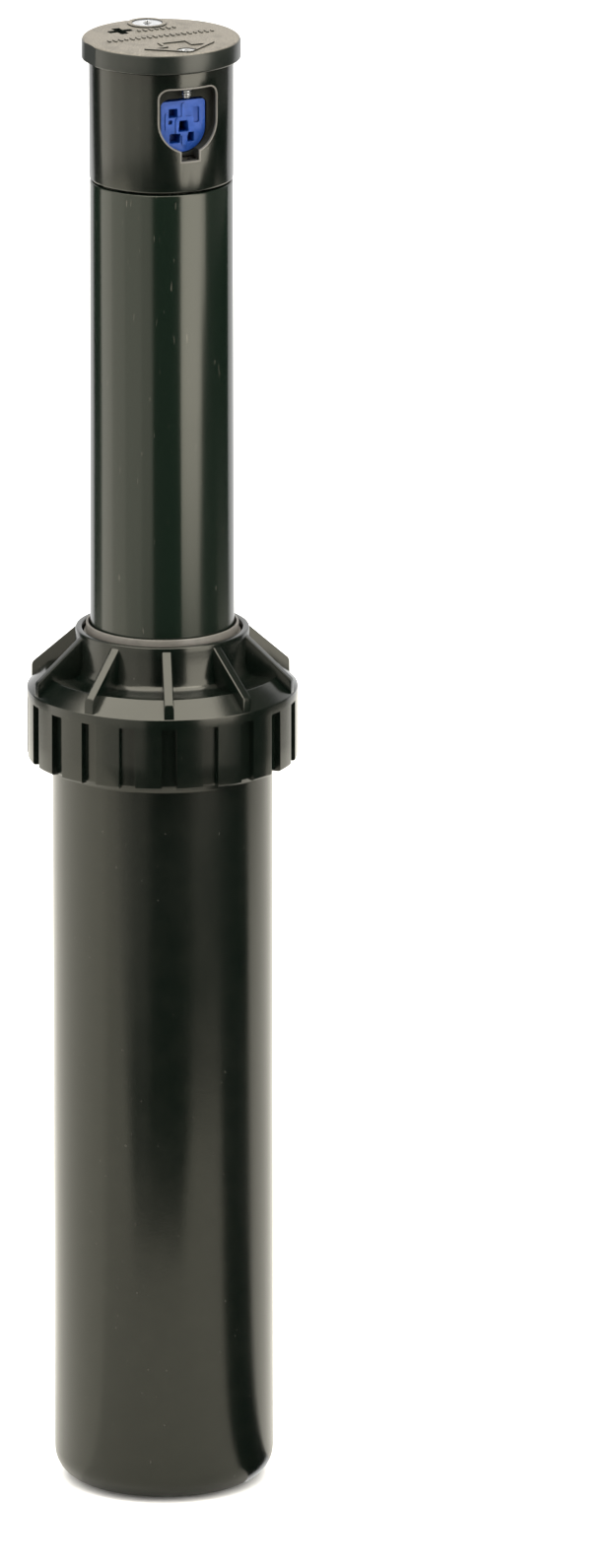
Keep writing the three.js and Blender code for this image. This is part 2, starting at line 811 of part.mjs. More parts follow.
// The adjuster's pinion turns the arc ring, whose tab trips the lever below.
function arcAdjuster() {
  const pinion = plate(gearOutline(arcPinionTeeth, arcModule), arcRingZ, arcRingZ + 2.4);
  const neck = rod(1.2, arcRingZ + 2, arcRingZ + 4.2, 12);
  const stem = rod(1.9, arcRingZ + 3.9, turretTop + 1.6, smallSides);
  const socket = new THREE.BoxGeometry(3, 1, 5).translate(0, 0, turretTop + 2);
  const crossSocket = new THREE.BoxGeometry(1, 3, 5).translate(0, 0, turretTop + 2);
  return cut(join(stem, neck, pinion), socket, crossSocket);
}

function arcRing() {
  const towardAdjuster = Math.atan2(adjuster[1], adjuster[0]);
  const phase = towardAdjuster + Math.PI / arcRingTeeth;
  const gear = plate(gearOutline(arcRingTeeth, arcModule, phase), arcRingZ, arcRingZ + 2.4);
  const tab = block(1.6, 2.6, 1.9, [0, -9, arcRingZ - 1.7]);
  return cut(join(gear, tab), rod(6.5, arcRingZ - 3, arcRingZ + 4, midSides));
}

add("turret_housing", turretHousing(), casePlastic);
add("top_cover", topCover(), coverRubber);
add("nozzle", nozzle(), nozzleBlue);
add("radius_screw", radiusScrew(), stainless, [0, screwY, 0]);
add("arc_adjuster", arcAdjuster(), gearWhite, [...adjuster, 0], Math.atan2(adjuster[1], adjuster[0]));
add("arc_ring", arcRing(), gearWhite);

export default sprinkler;
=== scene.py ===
"""Studio picture of a gear-driven pop-up sprinkler with its riser up.

Lengths in the shape functions are millimetres in the part's own frame: +Z up the riser axis,
origin in the middle of the underside, nozzle towards -Y.
"""

import json
import math

import bmesh
import bpy
from mathutils import Matrix, Vector


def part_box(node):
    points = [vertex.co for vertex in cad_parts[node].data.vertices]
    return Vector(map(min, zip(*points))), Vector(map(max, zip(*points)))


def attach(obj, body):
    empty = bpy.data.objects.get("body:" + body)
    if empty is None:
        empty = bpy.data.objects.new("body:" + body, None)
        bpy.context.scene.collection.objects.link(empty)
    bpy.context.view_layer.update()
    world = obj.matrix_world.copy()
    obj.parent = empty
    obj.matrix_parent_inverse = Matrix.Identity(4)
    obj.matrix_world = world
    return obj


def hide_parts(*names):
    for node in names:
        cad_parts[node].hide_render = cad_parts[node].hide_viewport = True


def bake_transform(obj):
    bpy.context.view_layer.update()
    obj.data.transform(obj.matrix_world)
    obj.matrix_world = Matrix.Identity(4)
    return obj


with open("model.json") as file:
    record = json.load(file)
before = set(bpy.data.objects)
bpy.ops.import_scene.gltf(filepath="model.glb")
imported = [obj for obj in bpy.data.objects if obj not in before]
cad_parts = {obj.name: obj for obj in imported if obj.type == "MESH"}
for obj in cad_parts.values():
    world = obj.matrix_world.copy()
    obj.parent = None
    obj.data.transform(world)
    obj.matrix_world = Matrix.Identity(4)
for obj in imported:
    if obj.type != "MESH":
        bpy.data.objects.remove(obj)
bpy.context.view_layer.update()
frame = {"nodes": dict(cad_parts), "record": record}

MM = 0.001
TAU = 2 * math.pi


def low(node):
    """Lowest height of a CAD node, in millimetres."""
    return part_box(node)[0].z / MM


def high(node):
    """Highest height of a CAD node, in millimetres."""
    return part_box(node)[1].z / MM


CASE_TOP = high("body_case")
RING_BOTTOM = low("body_cap")
COLLAR_TOP = high("body_cap")
LIP = high("wiper_seal")
RISER_FOOT = low("riser_tube")
RISER_TOP = high("riser_tube")
TURRET_FOOT = low("turret_housing")
COVER_FOOT = low("top_cover")
COVER_TOP = high("top_cover")

VIEW_AZIMUTH = math.radians(-24.4)  # where the camera stands, from -Y towards +X
CAP_TURN = math.radians(-21.15)  # middle of the cap's first gusset, measured the same way
TURRET_RADIUS = 14.95
NOZZLE_FACE = -11.0  # Y of the nozzle's front

# ------------------------------------------------------------------ outlines


def soften(corners, steps=4):
    """A closed outline from corners (x, y) or (x, y, radius), each radius rounded off."""
    outline = []
    for i, corner in enumerate(corners):
        here = Vector(corner[:2])
        radius = corner[2] if len(corner) > 2 else 0
        if not radius:
            outline.append(tuple(here))
            continue
        before, after = corners[i - 1], corners[(i + 1) % len(corners)]
        back = Vector(before[:2]) - here
        ahead = Vector(after[:2]) - here
        half = back.angle(ahead) / 2
        reach = radius / math.tan(half)
        for side, other in ((back, before), (ahead, after)):
            theirs = other[2] if len(other) > 2 else 0
            reach = min(reach, 0.98 * side.length * radius / (radius + theirs))
        radius = reach * math.tan(half)
        inward = (back.normalized() + ahead.normalized()).normalized()
        centre = here + inward * (radius / math.sin(half))
        first = here + back.normalized() * reach - centre
        last = here + ahead.normalized() * reach - centre
        turn = first.angle(last)
        for k in range(steps + 1):
            share = k / steps
            spoke = first * math.sin((1 - share) * turn) + last * math.sin(share * turn)
            outline.append(tuple(centre + spoke / math.sin(turn)))
    return outline


def rectangle(left, right, bottom, top, rounding=0):
    """Corners of a rectangle, anticlockwise from the lower left, rounded off if asked."""
    corners = [(left, bottom), (right, bottom), (right, top), (left, top)]
    if not rounding:
        return corners
    return soften([(*corner, rounding) for corner in corners], 3)


def mirrored(half):
    """A closed outline from its right half, mirrored in x = 0."""
    return half + [(-x, y) for x, y in reversed(half)]


def mixed(a, b, share):
    return a + (b - a) * share


def ramp(value, start, end):
    """0 before start, 1 after end, smooth between."""
    t = min(max((value - start) / (end - start), 0), 1)
    return t * t * (3 - 2 * t)


# ------------------------------------------------------------------ meshes


def new_object(name, verts, faces):
    mesh = bpy.data.meshes.new(name)
    mesh.from_pydata([Vector(v) * MM for v in verts], [], faces)
    mesh.validate()
    obj = bpy.data.objects.new(name, mesh)
    bpy.context.scene.collection.objects.link(obj)
    tidy = bmesh.new()
    tidy.from_mesh(mesh)
    bmesh.ops.recalc_face_normals(tidy, faces=tidy.faces)
    tidy.to_mesh(mesh)
    tidy.free()
    return obj


def wrapped_grid(name, rows, columns, place):
    """A ring-shaped surface, closed both ways. place(row, column) gives radius, height, angle.
    Angles run from -Y towards +X."""
    verts = []
    for i in range(rows):
        for j in range(columns):
            radius, height, angle = place(i, j)
            verts.append((radius * math.sin(angle), -radius * math.cos(angle), height))
    faces = []
    for i in range(rows):
        for j in range(columns):
            beside = (j + 1) % columns
            above = (i + 1) % rows * columns
            faces.append((i * columns + j, i * columns + beside, above + beside, above + j))
    return new_object(name, verts, faces)


def turned(name, corners, segments=128, steps=4):
    """A ring-shaped piece turned from a closed outline of (radius, height, rounding)."""
    outline = soften(corners, steps)
    return wrapped_grid(
        name,
        len(outline),
        segments,
        lambda i, j: (*outline[i], TAU * j / segments),
    )


def capped_grid(name, rows, columns, place):
    """A solid round the axis, closed to a point at both ends. place(row, column) as above."""
    verts = [(0, 0, place(0, 0)[1])]
    for i in range(1, rows - 1):
        for j in range(columns):
            radius, height, angle = place(i, j)
            verts.append((radius * math.sin(angle), -radius * math.cos(angle), height))
    verts.append((0, 0, place(rows - 1, 0)[1]))
    last = len(verts) - 1
    faces = []
    for j in range(columns):
        beside = (j + 1) % columns
        faces.append((0, 1 + beside, 1 + j))
        for i in range(rows - 3):
            a = 1 + i * columns
            faces.append((a + j, a + beside, a + columns + beside, a + columns + j))
        a = last - columns
        faces.append((last, a + j, a + beside))
    return new_object(name, verts, faces)


def solid_turned(name, corners, segments=64, steps=3):
    """A solid piece whose outline of (radius, height, rounding) runs from the axis and back."""
    outline = soften(corners, steps)
    return capped_grid(
        name,
        len(outline),
        segments,
        lambda i, j: (*outline[i], TAU * j / segments),
    )


def prism(name, outline, bottom, top):
    """An outline of (x, y) raised from bottom to top."""
    count = len(outline)
    verts = [(x, y, bottom) for x, y in outline] + [(x, y, top) for x, y in outline]
    faces = [tuple(range(count))[::-1], tuple(range(count, 2 * count))]
    faces += [(i, (i + 1) % count, count + (i + 1) % count, count + i) for i in range(count)]
    return new_object(name, verts, faces)


def facing_prism(name, outline, front, back):
    """An outline of (x, z) raised along Y, from front to back."""
    obj = prism(name, outline, -back, -front)
    obj.data.transform(Matrix.Rotation(math.pi / 2, 4, "X"))
    return obj


def slab(x, z, width, height, rounding=0.3):
    """A rounded rectangle in the nozzle's face, from its middle."""
    half, tall = width / 2, height / 2
    return rectangle(x - half, x + half, z - tall, z + tall, rounding)


def moved(obj, x=0, y=0, z=0, turn=0):
    obj.data.transform(Matrix.Rotation(turn, 4, "Z"))
    obj.data.transform(Matrix.Translation(Vector((x, y, z)) * MM))
    return obj


def apply_modifiers(obj):
    evaluated = obj.evaluated_get(bpy.context.evaluated_depsgraph_get())
    mesh = bpy.data.meshes.new_from_object(evaluated)
    obj.modifiers.clear()
    used = obj.data
    obj.data = mesh
    bpy.data.meshes.remove(used)
    return obj


def combine(obj, others, operation):
    """Boolean of obj with each of the others, which are used up."""
    for other in others:
        step = obj.modifiers.new("combine", "BOOLEAN")
        step.operation = operation
        step.solver = "EXACT"
        step.object = other
        apply_modifiers(obj)
        used = other.data
        bpy.data.objects.remove(other)
        bpy.data.meshes.remove(used)
    return obj


def soften_edges(obj, width, segments=2, angle=35):
    bevel = obj.modifiers.new("edges", "BEVEL")
    bevel.width = width * MM
    bevel.segments = segments
    bevel.limit_method = "ANGLE"
    bevel.angle_limit = math.radians(angle)
    bevel.use_clamp_overlap = True
    return apply_modifiers(obj)


def present(obj, body, material, stands_for=(), smooth=30):
    """Shade a finished piece, give it its material and let it ride."""
    obj.data.shade_smooth()
    obj.data.set_sharp_from_angle(angle=math.radians(smooth))
    obj.data.materials.clear()
    obj.data.materials.append(material)
    if body:
        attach(obj, body)
    if stands_for:
        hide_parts(*stands_for)
    return obj


# ------------------------------------------------------------------ materials


WARM_GLOSS = (1, 0.975, 0.87, 1)
MIX_FACTOR, MIX_A, MIX_B, MIX_RESULT = 0, 6, 7, 2  # the colour sockets of a Mix node


class Look:
    """A node material on a Principled shader, with object-space noise for grain and wear."""

    def __init__(self, name, color, roughness, **fixed):
        self.material = bpy.data.materials.new(name)
        self.material.use_nodes = True
        self.tree = self.material.node_tree
        self.shader = self.tree.nodes["Principled BSDF"]
        self.shader.inputs["Base Color"].default_value = (*color, 1)
        self.shader.inputs["Roughness"].default_value = roughness
        for socket, value in fixed.items():
            self.shader.inputs[socket.replace("_", " ")].default_value = value
        self.place = self.tree.nodes.new("ShaderNodeTexCoord").outputs["Object"]
        self.height = None

    def node(self, kind, **values):
        made = self.tree.nodes.new(kind)
        for key, value in values.items():
            if key in made.inputs:
                made.inputs[key].default_value = value
            else:
                setattr(made, key, value)
        return made

    def noise(self, scale, detail=3, stretch=(1, 1, 1), kind="ShaderNodeTexNoise"):
        """Noise with features about 1 / scale metres across."""
        mapping = self.node("ShaderNodeMapping", Scale=stretch)
        self.tree.links.new(self.place, mapping.inputs["Vector"])
        texture = self.node(kind, Scale=scale)
        if "Detail" in texture.inputs:
            texture.inputs["Detail"].default_value = detail
        self.tree.links.new(mapping.outputs["Vector"], texture.inputs["Vector"])
        return texture.outputs["Fac"] if "Fac" in texture.outputs else texture.outputs["Distance"]

    def curve(self, value, start, end, a, b, clamp=True):
        """value from start..end mapped to a..b."""
        mapped = self.node("ShaderNodeMapRange", clamp=clamp)
        for key, number in zip(("From Min", "From Max", "To Min", "To Max"), (start, end, a, b)):
            mapped.inputs[key].default_value = number
        self.tree.links.new(value, mapped.inputs["Value"])
        return mapped.outputs["Result"]

    def times(self, a, b):
        product = self.node("ShaderNodeMath", operation="MULTIPLY")
        self.tree.links.new(a, product.inputs[0])
        self.tree.links.new(b, product.inputs[1])
        return product.outputs[0]

    def facing_up(self):
        """1 on level upper faces, 0 on walls."""
        split = self.node("ShaderNodeSeparateXYZ")
        normal = self.tree.nodes.new("ShaderNodeTexCoord").outputs["Normal"]
        self.tree.links.new(normal, split.inputs[0])
        return self.curve(split.outputs["Z"], 0.55, 0.85, 0, 1)

    def depth(self, axis):
        """How far in along an axis, or out from Z, in millimetres."""
        if axis == "radius":
            flat = self.node("ShaderNodeVectorMath", operation="MULTIPLY")
            flat.inputs[1].default_value = (1, 1, 0)
            self.tree.links.new(self.place, flat.inputs[0])
            span = self.node("ShaderNodeVectorMath", operation="LENGTH")
            self.tree.links.new(flat.outputs[0], span.inputs[0])
            found = span.outputs["Value"]
        else:
            split = self.node("ShaderNodeSeparateXYZ")
            self.tree.links.new(self.place, split.inputs[0])
            found = split.outputs[axis]
        return self.curve(found, 0, MM, 0, 1, clamp=False)

    def mix_color(self, factor, other):
        """Blend the base colour towards another by a factor."""
        mix = self.node("ShaderNodeMix", data_type="RGBA")
        target = self.shader.inputs["Base Color"]
        if target.is_linked:
            self.tree.links.new(target.links[0].from_socket, mix.inputs[MIX_A])
        else:
            mix.inputs[MIX_A].default_value = target.default_value
        mix.inputs[MIX_B].default_value = (*other, 1)
        self.tree.links.new(factor, mix.inputs[MIX_FACTOR])
        self.tree.links.new(mix.outputs[MIX_RESULT], target)

    def stain(self, value, start, end, amount, color):
        """Another colour, from none where value is start to the amount where it is end."""
        self.mix_color(self.curve(value, start, end, 0, amount), color)

    def set_roughness(self, value):
        self.tree.links.new(value, self.shader.inputs["Roughness"])

    def bump(self, value, distance, strength=1.0):
        bump = self.node("ShaderNodeBump", Strength=strength, Distance=distance)
        self.tree.links.new(value, bump.inputs["Height"])
        if self.height:
            self.tree.links.new(self.height, bump.inputs["Normal"])
        self.height = bump.outputs["Normal"]
        self.tree.links.new(self.height, self.shader.inputs["Normal"])


def satin_plastic(name, roughness, gloss, hollow=0):
    """Satin black moulding: fine grain, faint flow lines up the wall, rubbed patches, dust.
    Where hollow is a radius, the surface inside it is left rough."""
    look = Look(
        name,
        (0.0013, 0.0027, 0.0019),
        roughness,
        Specular_IOR_Level=gloss,
        Specular_Tint=WARM_GLOSS,
    )
    patches = look.noise(55, 4, (1, 1, 0.25))
    satin = look.curve(patches, 0.3, 0.7, roughness - 0.05, roughness + 0.05)
    if hollow:
        inside = look.curve(look.depth("radius"), hollow - 0.1, hollow, 0.7, 0)
        total = look.node("ShaderNodeMath", operation="ADD")
        look.tree.links.new(satin, total.inputs[0])
        look.tree.links.new(inside, total.inputs[1])
        satin = total.outputs[0]
    look.set_roughness(satin)
    look.stain(look.noise(240, 5), 0.42, 0.78, 0.5, (0.004, 0.0052, 0.0038))
    look.stain(look.noise(1300, 1), 0.77, 0.81, 0.35, (0.07, 0.066, 0.058))
    look.bump(look.noise(2600, 2), 0.00002, 0.35)
    look.bump(look.noise(26, 2, (1, 1, 0.15)), 0.0002, 0.35)
    return look.material


def riser_plastic():
    """Polished black tube with a few vertical rub marks from the seal."""
    look = Look(
        "riser_plastic",
        (0.0028, 0.0058, 0.0038),
        0.16,
        Specular_IOR_Level=0.5,
        Specular_Tint=WARM_GLOSS,
    )
    look.set_roughness(look.curve(look.noise(90, 4, (1, 1, 0.06)), 0.35, 0.75, 0.12, 0.24))
    look.stain(look.noise(1500, 1, (1, 1, 0.2)), 0.74, 0.82, 0.5, (0.06, 0.055, 0.045))
    look.bump(look.noise(30, 2, (1, 1, 0.2)), 0.00025, 0.3)
    return look.material


def cover_rubber():
    """Moulded rubber with a coarse granular face, much lighter on its level upper faces than on
    its sides.
    """
    look = Look(
        "cover_rubber",
        (0.004, 0.006, 0.0048),
        0.4,
        Specular_IOR_Level=0.45,
        Specular_Tint=(1, 0.975, 0.9, 1),
    )
    facing_up = look.facing_up()
    look.stain(facing_up, 0, 1, 0.8, (0.135, 0.122, 0.102))
    grains = look.curve(look.noise(3200, 2), 0.42, 0.68, 0, 0.8)
    look.mix_color(look.times(grains, facing_up), (0.035, 0.032, 0.028))
    look.stain(look.noise(300, 3), 0.5, 0.75, 0.4, (0.009, 0.009, 0.008))
    look.set_roughness(look.curve(facing_up, 0, 1, 0.3, 0.6))
    look.bump(look.times(look.noise(3000, 2), facing_up), 0.00008, 0.8)
    return look.material


def seal_rubber():
    """Matt grey-brown rubber, mottled where it has dried."""
    look = Look("seal_rubber", (0.085, 0.079, 0.069), 0.45)
    look.stain(look.noise(420, 3), 0.4, 0.7, 0.5, (0.05, 0.046, 0.04))
    look.set_roughness(look.curve(look.noise(160, 3), 0.3, 0.7, 0.4, 0.62))
    look.bump(look.noise(1800, 2), 0.00003, 0.5)
    return look.material


def nozzle_plastic():
    """Blue moulded plastic that lets a little light in, with painted shade darkening its recesses
    and throat.
    """
    look = Look(
        "nozzle_blue",
        (0.01, 0.038, 0.17),
        0.34,
        Specular_IOR_Level=0.14,
        Subsurface_Weight=0.12,
        Subsurface_Radius=(0.0004, 0.0006, 0.0015),
    )
    face = NOZZLE_FACE
    look.stain(look.noise(500, 3), 0.4, 0.75, 0.5, (0.03, 0.075, 0.3))
    # Painted shade: darker from just behind the front face, for the shade in the recesses.
    look.stain(look.depth("Y"), face + 0.15, face + 0.9, 0.9, (0.001, 0.02, 0.13))
    # Painted shade: near black deep in the throat.
    look.stain(look.depth("Y"), face + 2.7, face + 3.4, 1, (0.0004, 0.0015, 0.002))
    look.set_roughness(look.curve(look.noise(350, 3), 0.3, 0.7, 0.26, 0.45))
    look.bump(look.noise(1500, 2), 0.00004, 0.4)
    return look.material


def stainless():
    """Steel with faint level streaks."""
    look = Look("stainless", (0.62, 0.63, 0.64), 0.28, Metallic=1.0)
    look.stain(look.noise(700, 3), 0.4, 0.7, 0.5, (0.42, 0.42, 0.42))
    look.set_roughness(look.curve(look.noise(900, 3, (1, 1, 4)), 0.3, 0.7, 0.2, 0.42))
    look.bump(look.noise(2500, 2, (1, 1, 6)), 0.00001, 0.5)
    return look.material


def moulded(name, color, shade, roughness):
    """A plain moulded plastic: two tones of one colour, with a moulded grain."""
    look = Look(name, color, roughness)
    look.stain(look.noise(260, 3), 0.4, 0.75, 0.6, shade)
    look.set_roughness(
        look.curve(look.noise(180, 3), 0.3, 0.7, roughness - 0.08, roughness + 0.1)
    )
    look.bump(look.noise(1900, 2), 0.00002, 0.4)
    return look.material


# The turret has its own finish, apart from the case's: glossier, and rough inside.
TURRET_PLASTIC = satin_plastic("turret_plastic", 0.2, 0.5, hollow=TURRET_RADIUS - 0.45)

LOOKS = {
    # A light grey used only on the rim round the window, as a painted highlight along its edge.
    "painted_edge_highlight": moulded("painted_edge_highlight", (0.085, 0.08, 0.07), (0.05, 0.047, 0.04), 0.4),
    "case_plastic": satin_plastic("case_plastic", 0.2, 0.42),
    "riser_plastic": riser_plastic(),
    "cover_rubber": cover_rubber(),
    "seal_rubber": seal_rubber(),
    "nozzle_blue": nozzle_plastic(),
    "stainless": stainless(),
    "gear_white": moulded("gear_white", (0.75, 0.72, 0.63), (0.62, 0.58, 0.48), 0.42),
    "inner_grey": moulded("inner_grey", (0.25, 0.26, 0.255), (0.18, 0.19, 0.185), 0.48),
    "screen_black": moulded("screen_black", (0.022, 0.023, 0.023), (0.04, 0.04, 0.039), 0.5),
}

# ------------------------------------------------------------------ case

CASE_RADIUS = 23
CASE_HEAD_RADIUS = 24.2  # under the cap, where it is thicker
CASE_BORE = 20.8
CASE_FLOOR = 3.2
SOCKET_RADIUS = 15.8  # inlet socket, standing up inside the case
SOCKET_TOP = 18.5
INLET_BORE = 9.5
GUIDES = 4  # ribs up the inner wall
GUIDE_HEIGHT = 1.05


def case_outline(guide):
    """Section through the case. guide moves the middle of the inner wall inwards."""
    wall = CASE_BORE - guide
    return soften(
        [
            (13.9, 0, 0.3),
            (CASE_RADIUS, 0, 6),
            (CASE_RADIUS, 60),
            (CASE_RADIUS, 110),
            (CASE_RADIUS, RING_BOTTOM - 2, 1),
            (CASE_HEAD_RADIUS, RING_BOTTOM + 0.6, 0.6),
            (CASE_HEAD_RADIUS, CASE_TOP, 0.3),
            (CASE_BORE, CASE_TOP, 0.4),
            (CASE_BORE, CASE_TOP - 15),
            (wall, CASE_TOP - 16),
            (wall, 30),
            (CASE_BORE, 29),
            (CASE_BORE, CASE_FLOOR, 2),
            (SOCKET_RADIUS, CASE_FLOOR, 0.8),
            (SOCKET_RADIUS, SOCKET_TOP, 0.6),
            (INLET_BORE, SOCKET_TOP, 0.4),
            (INLET_BORE, 16, 0.4),
            (12.9, 16, 0.4),
        ],
        8,
    )


def pipe_thread(height, angle):
    """Radius of the tapered inlet thread at a height above the case's underside."""
    pitch = 1.814
    mouth = 13.25
    depth = 0.75
    phase = (height / pitch - angle / TAU) % 1
    crest = 1 - abs(2 * phase - 1)
    ridge = min(max(crest * 1.3 - 0.15, 0), 1)
    fade = ramp(height, 0.4, 1.6) * (1 - ramp(height, 13.6, 14.6))
    return mouth - height / 32 - depth * ridge * fade + 0.3 * fade


def build_case():
    """Case with four guide ribs inside, and a threaded inlet in its foot."""
    plain = case_outline(0)
    ribbed = case_outline(GUIDE_HEIGHT)
    bore = [15.6 - 0.21 * k for k in range(74)]  # heights down the thread
    segments = 144
    half_guide = math.radians(3.4)
    half_span = math.pi / GUIDES

    def place(i, j):
        angle = TAU * j / segments
        if i >= len(plain):
            height = bore[i - len(plain)]
            return pipe_thread(height, angle), height, angle
        off = abs((angle + half_span) % (2 * half_span) - half_span)
        share = 1 if off < half_guide else 0
        radius, height = (mixed(a, b, share) for a, b in zip(plain[i], ribbed[i]))
        return radius, height, angle

    return wrapped_grid("case_shell", len(plain) + len(bore), segments, place)


present(build_case(), "case", LOOKS["case_plastic"], ["body_case"])

# ------------------------------------------------------------------ cap

RING_RADIUS = 28.2
RING_TOP = COLLAR_TOP - 12.8
SHOULDER = COLLAR_TOP - 9.3
GUSSETS = 10
GUSSET_HALF = 1.0
GRIP_HALF = 1.6
GRIP_DEPTH = 1.35
RING_BORE = 25.4
COLLAR_RADIUS = 18.1
CHAMFER_SLOPE = 0.946
GUSSET_SLOPE = 0.894
GUSSET_END = 28  # radius where a gusset's top edge ends
GUSSET_ROUNDING = 0.3


def chamfer(radius):
    """Height of the sloping band above the grip ring."""
    return RING_TOP + (RING_RADIUS - radius) * CHAMFER_SLOPE


def gusset_top(radius):
    """Height of a gusset's sloping top edge, rounded off at its outer end."""
    rounding = GUSSET_ROUNDING * max(1 - (GUSSET_END - radius) / GUSSET_ROUNDING, 0) ** 2
    return COLLAR_TOP - 0.85 - (radius - COLLAR_RADIUS) * GUSSET_SLOPE - rounding


def gusset_edge(off):
    """How far the top edge of a gusset is rounded down at a distance from its middle plane."""
    across = max(off - GUSSET_HALF + GUSSET_ROUNDING, 0) / GUSSET_ROUNDING
    return GUSSET_ROUNDING * (1 - math.sqrt(max(1 - across * across, 0)))


def cap_outline():
    """Section through the cap between two gussets, up the outside and down the inside."""
    band = [(r, chamfer(r)) for r in (28.02, 28, 27.95, 27.88, 27.8, 27.6, 26.5)]
    return soften(
        [
            (RING_BORE, RING_BOTTOM, 0.3),
            (RING_RADIUS, RING_BOTTOM, 0.5),
            (RING_RADIUS, RING_BOTTOM + 5),
            (RING_RADIUS, RING_TOP - 2.1),
            (RING_RADIUS, RING_TOP - 1.9),
            (RING_RADIUS, RING_TOP, 0.35),
            *band,
            (24.5, SHOULDER, 0.35),
            (22.6, SHOULDER),
            (18.35, SHOULDER, 2.4),
            (18.15, COLLAR_TOP - 2.5),
            (18.12, COLLAR_TOP - 1.2),
            (COLLAR_RADIUS, COLLAR_TOP, 0.35),
            (16.75, COLLAR_TOP, 0.3),
            (16.7, SHOULDER - 2.6, 0.3),
            (RING_BORE, SHOULDER - 2.6, 1.2),
            (RING_BORE, RING_BOTTOM + 12),
            (RING_BORE, RING_BOTTOM + 6),
        ],
        4,
    )


def cap_columns():
    """Columns of one gusset-to-gusset span, as (kind, distance, side). Near ones keep their
    distance in millimetres from the gusset's plane, far ones from the plane half way to the
    next. A column between them stands at a share of the way from near to far."""
    near = [0, 0.4, 0.7, 0.82, 0.91, 0.97, 1.0, 1.04, 1.2, 1.4, 1.54, 1.66, 1.8, 2.0]
    far = [2.0, 1.8, 1.66, 1.54, 1.2, 0.6]
    spread = 7
    half = [("near", w) for w in near]
    half += [("between", (k + 1) / (spread + 1)) for k in range(spread)]
    half += [("far", w) for w in far]
    columns = [(kind, w, 1) for kind, w in half] + [("far", 0, 1)]
    return columns + [(kind, w, -1) for kind, w in reversed(half[1:])]


def build_cap():
    """Screw cap: ten gussets from collar to ring. The grip ring is set back at each gusset and
    half way between two."""
    outline = cap_outline()
    columns = cap_columns()
    step = TAU / GUSSETS
    inner_from = min(i for i, (r, _) in enumerate(outline) if r < 16.9)

    def turn_from_gusset(kind, distance, radius):
        if kind == "near":
            return math.asin(distance / radius)
        if kind == "far":
            return step / 2 - math.asin(distance / radius)
        margin = math.asin(2 / radius)
        return mixed(margin, step / 2 - margin, distance)

    def place(i, j):
        span, column = divmod(j, len(columns))
        kind, distance, side = columns[column]
        radius, height = outline[i]
        turn = turn_from_gusset(kind, distance, radius)
        outside = radius > 25.6 or (i < inner_from and height > SHOULDER - 1)
        on_gusset = kind == "near" and distance <= GUSSET_HALF
        if outside and height < RING_TOP - 2:
            off = radius * min(turn, step / 2 - turn)
            edge = ramp(off, GRIP_HALF - 0.07, GRIP_HALF + 0.07)
            radius -= GRIP_DEPTH * (1 - edge)
        elif outside and on_gusset and 17.7 < radius < GUSSET_END + 0.01:
            height = max(height, gusset_top(radius) - gusset_edge(distance))
        start = CAP_TURN + step * (span if side > 0 else span + 1)
        return radius, height, start + side * turn

    return wrapped_grid("screw_cap", len(outline), GUSSETS * len(columns), place)


present(build_cap(), "case", LOOKS["case_plastic"], ["body_cap"], smooth=28)

# ------------------------------------------------------------------ seals and spring


def build_wiper():
    """Rubber sleeve in the collar, with a soft lip that stands round the riser."""
    return turned(
        "wiper_lip",
        [
            (15.5, CASE_TOP - 1.4, 0.2),
            (20.2, CASE_TOP - 1.4, 0.3),
            (20.2, CASE_TOP + 1.2, 0.3),
            (16.35, CASE_TOP + 1.2, 0.4),
            (16.35, COLLAR_TOP - 1.1),
            (15.95, COLLAR_TOP - 0.9, 0.15),
            (15.9, LIP, 0.22),
            (15.38, LIP, 0.18),
            (15.3, LIP - 1.6, 0.3),
            (15.75, LIP - 2.6, 0.3),
            (15.75, CASE_TOP + 0.6, 0.3),
        ],
    )


def coil(name, radius, bottom, top, turns, wire, sides=10, steps=28):
    """A compression spring whose end coils are wound closer than the rest."""
    count = int(turns * steps)
    closed = 1.6
    verts = []
    for k in range(count + 1):
        share = k / count
        turn = share * turns
        climb = ramp(turn, 0.15, closed) * 0.5
        climb += ramp(turn, turns - closed, turns - 0.15) * 0.5
        climb = mixed(climb, share, min(1, 4 * share * (1 - share) + 0.35))
        height = mixed(bottom + wire, top - wire, climb)
        angle = TAU * turn
        for j in range(sides):
            around = TAU * j / sides
            out = radius + wire * math.cos(around)
            rise = wire * math.sin(around)
            verts.append((out * math.cos(angle), out * math.sin(angle), height + rise))
    faces = [tuple(range(sides)), tuple(range(count * sides, (count + 1) * sides))]
    for k in range(count):
        for j in range(sides):
            a = k * sides + j
            b = k * sides + (j + 1) % sides
            faces.append((a, b, b + sides, a + sides))
    return new_object(name, verts, faces)


present(build_wiper(), "case", LOOKS["seal_rubber"], ["wiper_seal"])

spring_low = low("retract_spring")
spring_high = high("retract_spring")
spring = coil("return_spring", 17.5, spring_low, spring_high, 9, 0.74)
present(spring, None, LOOKS["stainless"], ["retract_spring"], smooth=60)
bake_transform(spring)

bypass_low = low("bypass_spring")
bypass_high = high("bypass_spring")
bypass_coil = coil("bypass_coil", 2.05, bypass_low, bypass_high, 4.5, 0.27, steps=20)
present(bypass_coil, None, LOOKS["stainless"], ["bypass_spring"], smooth=60)
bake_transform(bypass_coil)

# ------------------------------------------------------------------ riser


FLANGE_TOP = RISER_FOOT + 3


